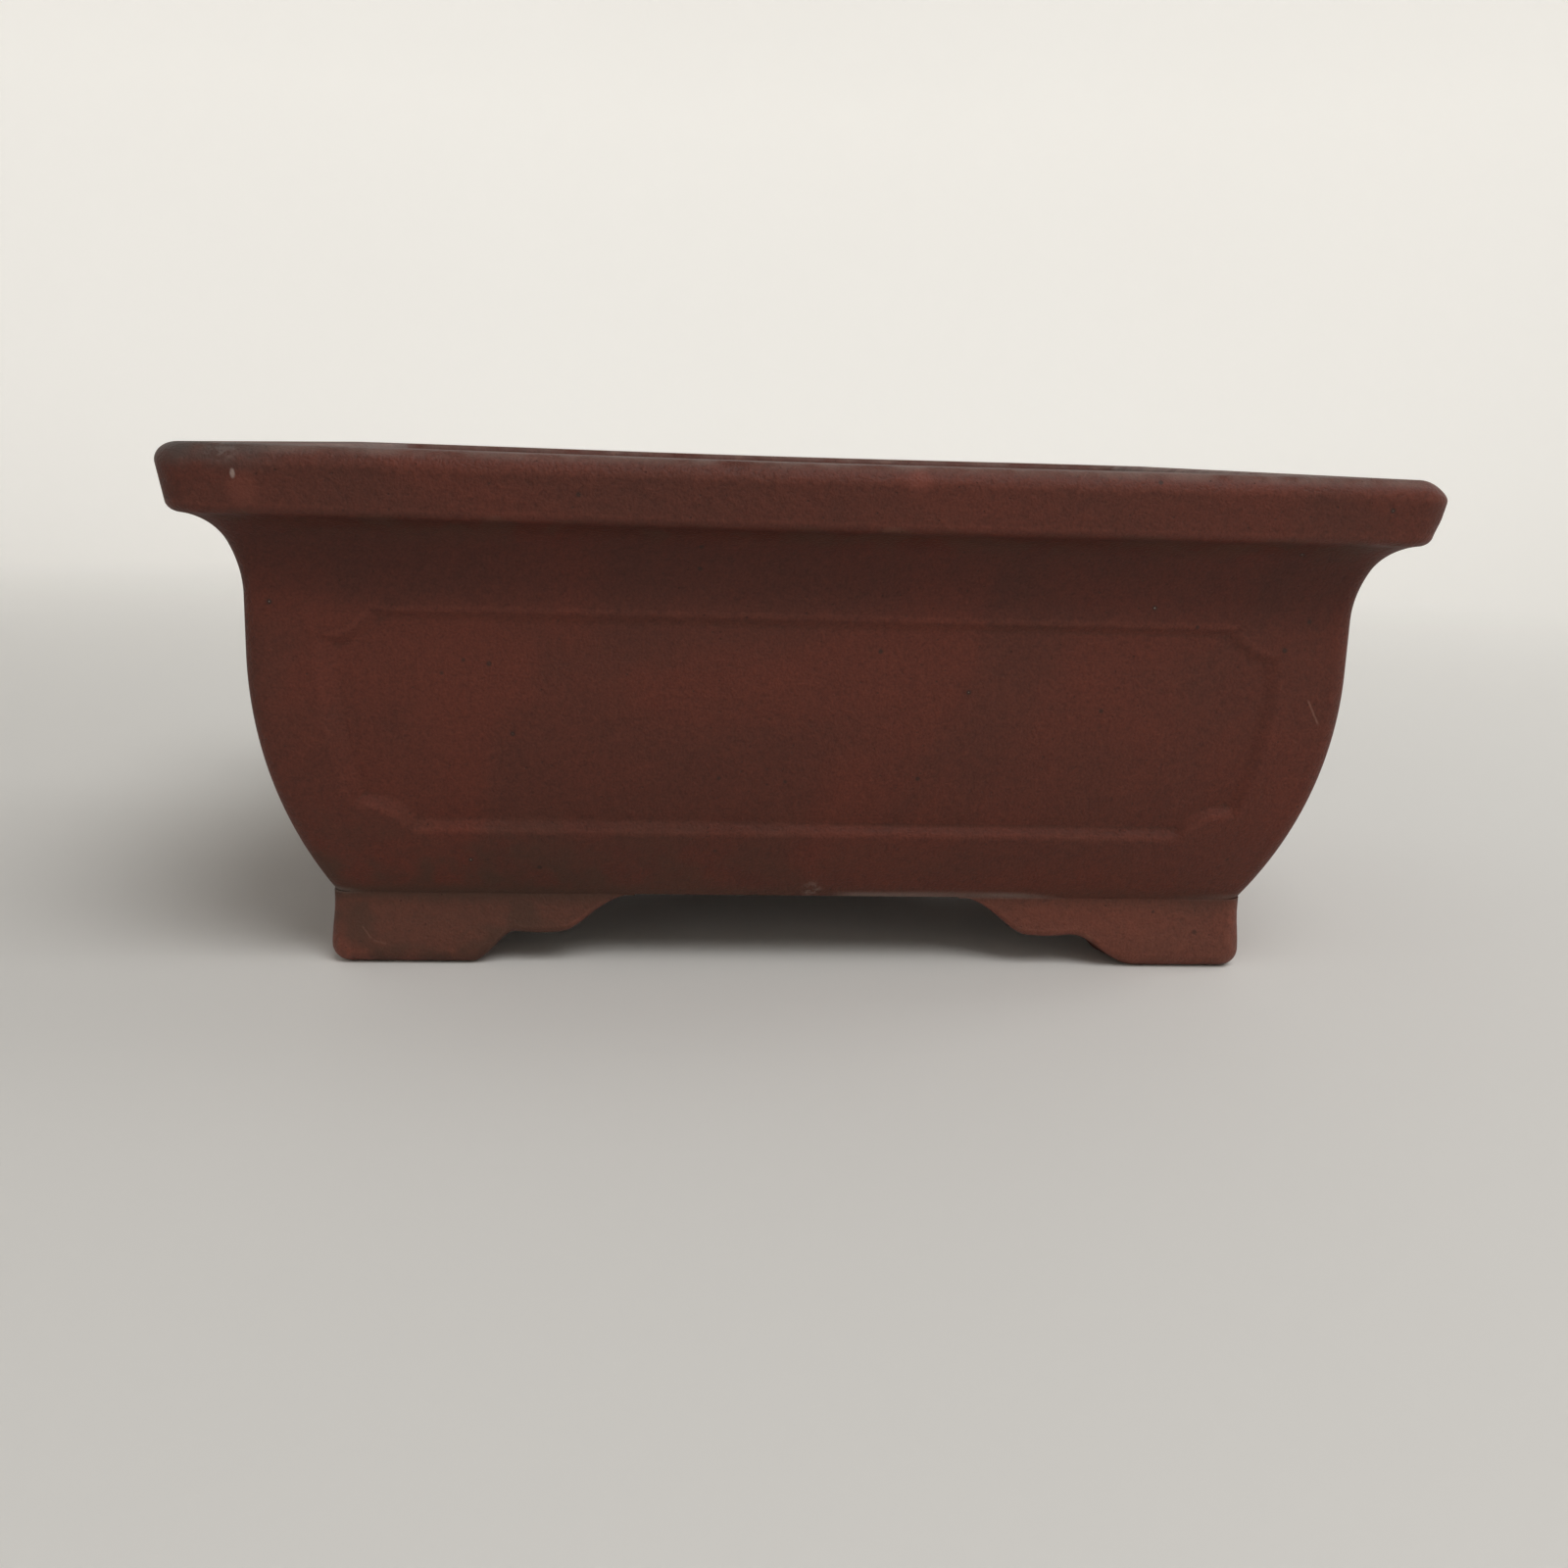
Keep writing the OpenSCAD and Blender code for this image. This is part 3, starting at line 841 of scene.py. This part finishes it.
class Wire:
    """A shader socket that can be used in sums: each operator adds the Math node that does it."""

    def __init__(self, paint, socket):
        self.paint = paint
        self.socket = socket

    def _math(self, operation, *values):
        return self.paint.node("ShaderNodeMath", {"operation": operation}, dict(enumerate(values)))

    def __add__(self, other):
        return self._math("ADD", self, other)

    def __radd__(self, other):
        return self._math("ADD", other, self)

    def __sub__(self, other):
        return self._math("SUBTRACT", self, other)

    def __rsub__(self, other):
        return self._math("SUBTRACT", other, self)

    def __mul__(self, other):
        return self._math("MULTIPLY", self, other)

    def __rmul__(self, other):
        return self._math("MULTIPLY", other, self)

    def __abs__(self):
        return self._math("ABSOLUTE", self)


class Paint:
    """A material's node tree, filled one node at a time."""

    def __init__(self, name):
        self.material = bpy.data.materials.new(name)
        self.material.use_nodes = True
        self.tree = self.material.node_tree
        self.tree.nodes.clear()

    def node(self, kind, settings=None, inputs=None, out=0):
        """Adds a node, sets its settings, then its sockets' values or links, and returns one output."""
        n = self.tree.nodes.new(kind)
        for key, value in (settings or {}).items():
            if key == "stops":
                ramp = n.color_ramp
                while len(ramp.elements) < len(value):
                    ramp.elements.new(0.5)
                for element, (place, tone) in zip(ramp.elements, value):
                    element.position = place
                    element.color = (*tone, 1) if hasattr(tone, "__len__") else (tone, tone, tone, 1)
            else:
                setattr(n, key, value)
        for key, value in (inputs or {}).items():
            if isinstance(value, Wire):
                self.tree.links.new(value.socket, n.inputs[key])
            elif hasattr(value, "__len__") and len(value) == 3 and n.inputs[key].type == "RGBA":
                n.inputs[key].default_value = (*value, 1)
            else:
                n.inputs[key].default_value = value
        return Wire(self, n.outputs[out])

    def noise(self, where, scale, detail=2.0, rough=0.5, warp=0.0):
        """Cloudy noise between 0 and 1, with its cells a metre over scale across."""
        return self.node("ShaderNodeTexNoise", {}, {"Vector": where, "Scale": scale, "Detail": detail,
                                                    "Roughness": rough, "Distortion": warp}, "Fac")

    def times(self, vector, by):
        """A colour or place multiplied by a number, a value, or a factor on each part."""
        if isinstance(by, (Wire, float)):
            return self.node("ShaderNodeVectorMath", {"operation": "SCALE"}, {0: vector, 3: by})
        return self.node("ShaderNodeVectorMath", {"operation": "MULTIPLY"}, {0: vector, 1: by})

    def split(self, vector):
        """The three parts of a vector."""
        parts = self.node("ShaderNodeSeparateXYZ", {}, {"Vector": vector})
        return [Wire(self, s) for s in parts.socket.node.outputs]

    def attribute(self, name):
        """A number stored on the mesh."""
        return self.node("ShaderNodeAttribute", {"attribute_name": name}, {}, "Fac")

    def most(self, *values):
        """The largest of several values."""
        top = values[0]
        for value in values[1:]:
            top = self.node("ShaderNodeMath", {"operation": "MAXIMUM"}, {0: top, 1: value})
        return top

    def specks(self, where, scale, size, share):
        """Small round specks, one in each cell of the grain, kept only in a share of the cells."""
        near = self.node("ShaderNodeTexVoronoi", {}, {"Vector": where, "Scale": scale}, "Distance")
        cell = Wire(self, near.socket.node.outputs["Color"])
        luck = self.split(cell)[0]
        return self.step(near, size, 0.5 * size) * self.step(luck, share, share - 0.02)

    def mix(self, factor, a, b):
        """Blends two colours."""
        return self.node("ShaderNodeMix", {"data_type": "RGBA"}, {0: factor, 6: a, 7: b}, 2)

    def step(self, value, low, high):
        """0 below low, 1 above high, smooth between; low may be above high."""
        kind = {"data_type": "FLOAT", "interpolation_type": "SMOOTHSTEP"}
        return self.node("ShaderNodeMapRange", kind, {0: value, 1: low, 2: high, 3: 0.0, 4: 1.0})

    def between(self, value, low, full_low, full_high, high):
        """1 from full_low to full_high, fading to 0 at low and at high."""
        return self.step(value, low, full_low) * self.step(value, high, full_high)

    def spot(self, where, centre, radius, soft=0.6):
        """1 at a place on the piece, fading out at this radius."""
        gap = self.node("ShaderNodeVectorMath", {"operation": "DISTANCE"}, {0: where, 1: centre}, 1)
        return self.step(gap, radius, radius * (1 - soft))

    def stroke(self, where, start, finish, width):
        """1 along a short straight scratch between two (x, z) places, fading out at this width."""
        along = np.subtract(finish, start)
        half = np.linalg.norm(along) / 2
        d = along / (2 * half)
        middle = np.add(start, finish) / 2
        n = np.array([-d[1], d[0]])
        dot = {"operation": "DOT_PRODUCT"}
        ahead = self.node("ShaderNodeVectorMath", dot, {0: where, 1: (d[0], 0, d[1])}, 1)
        aside = self.node("ShaderNodeVectorMath", dot, {0: where, 1: (n[0], 0, n[1])}, 1)
        far = abs(ahead - float(d @ middle))
        off = abs(aside - float(n @ middle))
        return self.step(off, width, 0.2 * width) * self.step(far, half, 0.7 * half)

    def shade(self, values):
        """Ends the tree in one surface shader."""
        surface = self.node("ShaderNodeBsdfPrincipled", {}, values)
        end = self.tree.nodes.new("ShaderNodeOutputMaterial")
        self.tree.links.new(surface.socket, end.inputs["Surface"])
        return self.material


def paper(tone):
    """Matte sweep whose far side glows softly, like a wall lit from above."""
    p = Paint("sweep_paper")
    st = bpy.context.scene.stage_setup
    place = p.node("ShaderNodeTexCoord", {}, {}, "Object")
    parts = p.split(place)
    cloud = p.noise(place, 3.0, 2, 0.5)
    ground = p.mix(p.step(parts[1], -0.30, 0.45), tuple(st.floor_tone), tuple(tone))
    wash = p.mix(0.10 * cloud, ground, (0.62, 0.52, 0.44))
    glow = p.mix(p.step(parts[1] + 0.30 * parts[2], -0.05, 1.05), (0, 0, 0), (1.0, 0.975, 0.93))
    return p.shade({"Base Color": wash, "Roughness": 0.85, "Emission Color": glow,
                    "Emission Strength": st.glow, "Specular IOR Level": 0.25})


# Where single marks sit on the pot, in metres; a scratch has (x, z) ends on the front.
STAIN_AT = (-0.083, -0.066, 0.0775)
FILM_AT = (-0.080, -0.0688, 0.0776)
WORN_AT = (-0.0775, -0.0695, 0.0722)
CHIP_AT = (-0.0786, -0.0697, 0.0741)
CHIP_STRETCH = (1.6, 1.0, 0.8)
NICK_AT = (0.013, -0.0700, 0.0760)
BLOOM_AT = (0.002, -0.0505, 0.0135)
SCRATCHES = ((1.0, (0.0744, 0.0455), (0.0767, 0.0413), 0.00022),
             (0.7, (-0.0668, 0.0062), (-0.0652, 0.0040), 0.00022),
             (0.5, (-0.0652, 0.0040), (-0.0630, 0.0034), 0.00020))


def clay(name):
    """Unglazed stoneware.

    Mottled iron-red body, browner up at the lip and paler at the feet, the paler feet partly painted light
    from the table's bounce, with fine grain, dark iron specks and a few sand specks. Crests are rubbed
    lighter and chipped in places, the lighter crests partly a painted highlight; creases, the cove under
    the lip and down-facing faces are darkened with painted shade, creases and the foot seat also hold
    grey-brown soil, the lower body darkens towards the bottom, the rim's top land is paled by dust and
    painted sheen, and the inside is dusty with a faint lime line."""
    found = bpy.data.materials.get(name)
    if found:
        return found
    p = Paint(name)
    lk = look()
    place = p.node("ShaderNodeTexCoord", {}, {}, "Object")
    x, y, z = p.split(place)
    bend = p.attribute("bend")
    inside = p.attribute("inside")
    normal_z = p.split(p.node("ShaderNodeTexCoord", {}, {}, "Normal"))[2]

    fine = p.noise(place, 2600, 1, 0.6)
    grit = p.noise(place, 900, 2, 0.7)
    patch = p.noise(place, 130, 2, 0.6)
    cloud = p.noise(place, 30, 2, 0.55, warp=1.2)
    smear = p.noise(p.times(place, (0.35, 0.35, 1.6)), 60, 2, 0.6)

    body = p.mix(p.step(z, 0.066, 0.0715), tuple(lk.wall), tuple(lk.rim))
    # Paler clay below the body's foot line, partly painted light from the table's bounce on the feet.
    body = p.mix(p.step(z, FOOT_H + 0.0005, FOOT_H - 0.0015), body, tuple(lk.foot))
    redder = p.times(body, (1.07, 0.99, 0.98))
    browner = p.times(body, (0.89, 0.94, 0.97))
    body = p.mix(p.step(cloud, 0.35, 0.68), browner, redder)
    body = p.mix(0.55 * p.step(smear, 0.56, 0.75), body, browner)
    # Painted shade: the cove under the lip is darkened where the lip overhangs it.
    cove_shade = p.between(z, 0.0535, 0.0605, 0.0675, 0.0705) * (1.0 - inside)
    body = p.mix(0.8 * cove_shade, body, p.times(body, (0.72, 0.74, 0.78)))
    value = 1.0 + 0.22 * (patch - 0.5) + 0.60 * (grit - 0.5) + 0.70 * (fine - 0.5)
    body = p.times(body, value)

    # Convex crests are lightened: partly rubbed wear, partly a painted highlight on edges that face the
    # light, such as the panel's lower ledge.
    crest_wear_and_highlight = p.step(bend + 260 * (grit - 0.5), 100, 480)
    # Painted shade: concave creases, such as the panel's upper edge, are darkened; a smaller share of the
    # same mask goes into the soil below.
    crease_shade_and_soil = p.step(bend + 240 * (patch - 0.5), -260, -900)
    body = p.mix(0.6 * crease_shade_and_soil, body, p.times(body, 0.66))
    body = p.mix(0.75 * crest_wear_and_highlight, body, p.times(body, (1.26, 1.26, 1.28)))

    chipped = p.step(bend, 420, 700) * p.step(patch, 0.58, 0.64)
    body = p.mix(0.45 * chipped, body, tuple(lk.raw))

    # Painted shade: faces that point downward are darkened towards the soil colour.
    underside_shade = p.step(normal_z, -0.35, -0.9)
    # Where the feet meet the body: grey soil, and partly painted shade in that crease.
    seat_soil_and_shade = p.step(z, FOOT_H - 0.0042 + 0.004 * (patch - 0.5), FOOT_H + 0.0004)
    seat_soil_and_shade = seat_soil_and_shade * p.step(z, FOOT_H + 0.0060 * patch + 0.0004, FOOT_H)
    left_low = p.step(x, 0.02, -0.05) * p.step(y, -0.01, -0.05)
    # Darker towards the bottom of the body, most at the front left.
    low_band = p.step(z, 0.030, 0.013) * (0.20 + 0.75 * left_low) * p.step(patch, 0.35, 0.62)
    foot_film = 0.42 * left_low * p.step(z, 0.0125, 0.0105) * (1.0 - crest_wear_and_highlight)
    # Soil and painted shade in one mask: the crease, underside and foot-seat parts are partly or wholly
    # painted shade, while the left feet's film and the inside dust are soil.
    soil_and_shade = p.most(0.30 * crease_shade_and_soil, foot_film, (0.45 + 0.4 * left_low) * seat_soil_and_shade, 0.8 * low_band)
    inner_dust = inside * p.step(z, 0.060, 0.02) * (0.30 + 0.5 * p.step(patch, 0.4, 0.65))
    soil_and_shade = p.most(soil_and_shade, inner_dust, 0.4 * underside_shade * p.step(patch, 0.45, 0.6))
    body = p.mix(soil_and_shade, body, tuple(lk.soil_and_shade))

    tide_z = z + 0.004 * (smear - 0.5)
    tide = p.between(tide_z, 0.0600, 0.0625, 0.0630, 0.0655)
    bloom = p.most(0.16 * inside * tide * p.step(grit, 0.42, 0.62),
                   0.3 * p.spot(place, BLOOM_AT, 0.0026) * p.step(grit, 0.4, 0.65),
                   0.22 * p.between(z, 0.0111, 0.0117, 0.0119, 0.0128) * p.step(smear, 0.50, 0.62))
    # The rim's top land is paled towards lime: partly dust, partly a painted sheen.
    land = 0.20 * p.step(z, 0.0764, 0.0777) * p.step(patch, 0.30, 0.60) * (1.0 - inside)
    body = p.mix(p.most(bloom, land), body, tuple(lk.lime))

    dark = p.specks(place, 300, 0.15, 0.11)
    body = p.mix(0.75 * dark, body, tuple(lk.iron))
    pinhole = p.specks(place, 820, 0.15, 0.20)
    body = p.mix(0.6 * pinhole, body, tuple(lk.pinhole))
    pale = p.specks(place, 300, 0.05, 0.06)
    body = p.mix(0.5 * pale, body, tuple(lk.lime))

    stain = p.spot(place, STAIN_AT, 0.014, 0.8)
    stain = stain * p.step(z, 0.0735, 0.0765) * p.step(patch, 0.25, 0.55)
    body = p.mix(0.8 * stain, body, tuple(lk.stain))
    film = p.spot(place, FILM_AT, 0.0030) * p.step(grit, 0.42, 0.62)
    body = p.mix(0.2 * film, body, tuple(lk.film))
    chip_at = tuple(a * k for a, k in zip(CHIP_AT, CHIP_STRETCH))
    chip = p.spot(p.times(place, CHIP_STRETCH), chip_at, 0.0007)
    worn = p.spot(place, WORN_AT, 0.0028)
    body = p.mix(0.35 * worn, body, tuple(lk.worn))
    body = p.mix(0.6 * chip, body, tuple(lk.chip))
    lines = p.most(*(k * p.stroke(place, start, finish, width) for k, start, finish, width in SCRATCHES))
    scratched = lines * p.step(grit, 0.3, 0.55) * p.step(y, -0.04, -0.05)
    body = p.mix(0.5 * scratched, body, tuple(lk.scratch))
    nick = p.spot(place, NICK_AT, 0.0022)
    body = p.mix(0.4 * nick, body, tuple(lk.nick))

    height = 0.6 * fine + 1.0 * grit + 0.9 * patch - 0.9 * pinhole
    bump = p.node("ShaderNodeBump", {}, {"Strength": 0.80, "Distance": 0.00026, "Height": height})
    rough = 0.60 + 0.20 * (grit - 0.5) + 0.14 * (patch - 0.5) + 0.16 * soil_and_shade - 0.06 * crest_wear_and_highlight
    return p.shade({"Base Color": body, "Roughness": rough, "Normal": bump, "Specular IOR Level": 0.24})


# ---------------------------------------------------------------- panel and running

class POT_PT_panel(bpy.types.Panel):
    """Lists the pot's pieces in the sidebar"""
    bl_label = "Bonsai Pot"
    bl_idname = "POT_PT_panel"
    bl_space_type = "VIEW_3D"
    bl_region_type = "UI"
    bl_category = "Bonsai Pot"

    def draw(self, context):
        for operator in OPERATORS:
            self.layout.operator(operator.bl_idname)
        for group in (context.scene.pot_shape, context.scene.clay_look, context.scene.stage_setup):
            for key in group.bl_rna.properties.keys():
                if key not in ("rna_type", "name"):
                    self.layout.prop(group, key)


GROUPS = {"pot_shape": PotShape, "clay_look": ClayLook, "stage_setup": StageSetup}
OPERATORS = (POT_OT_floor, POT_OT_walls, POT_OT_rims, POT_OT_feet, POT_OT_coils, POT_OT_stage)


def register():
    for cls in (*GROUPS.values(), *OPERATORS, POT_PT_panel):
        bpy.utils.register_class(cls)
    for name, group in GROUPS.items():
        setattr(bpy.types.Scene, name, PointerProperty(type=group))


def unregister():
    for name in GROUPS:
        delattr(bpy.types.Scene, name)
    for cls in (POT_PT_panel, *OPERATORS, *GROUPS.values()):
        bpy.utils.unregister_class(cls)


def main():
    register()
    for operator in OPERATORS:
        getattr(bpy.ops.pot, operator.bl_idname.split(".")[1])()


if __name__ == "__main__":
    main()
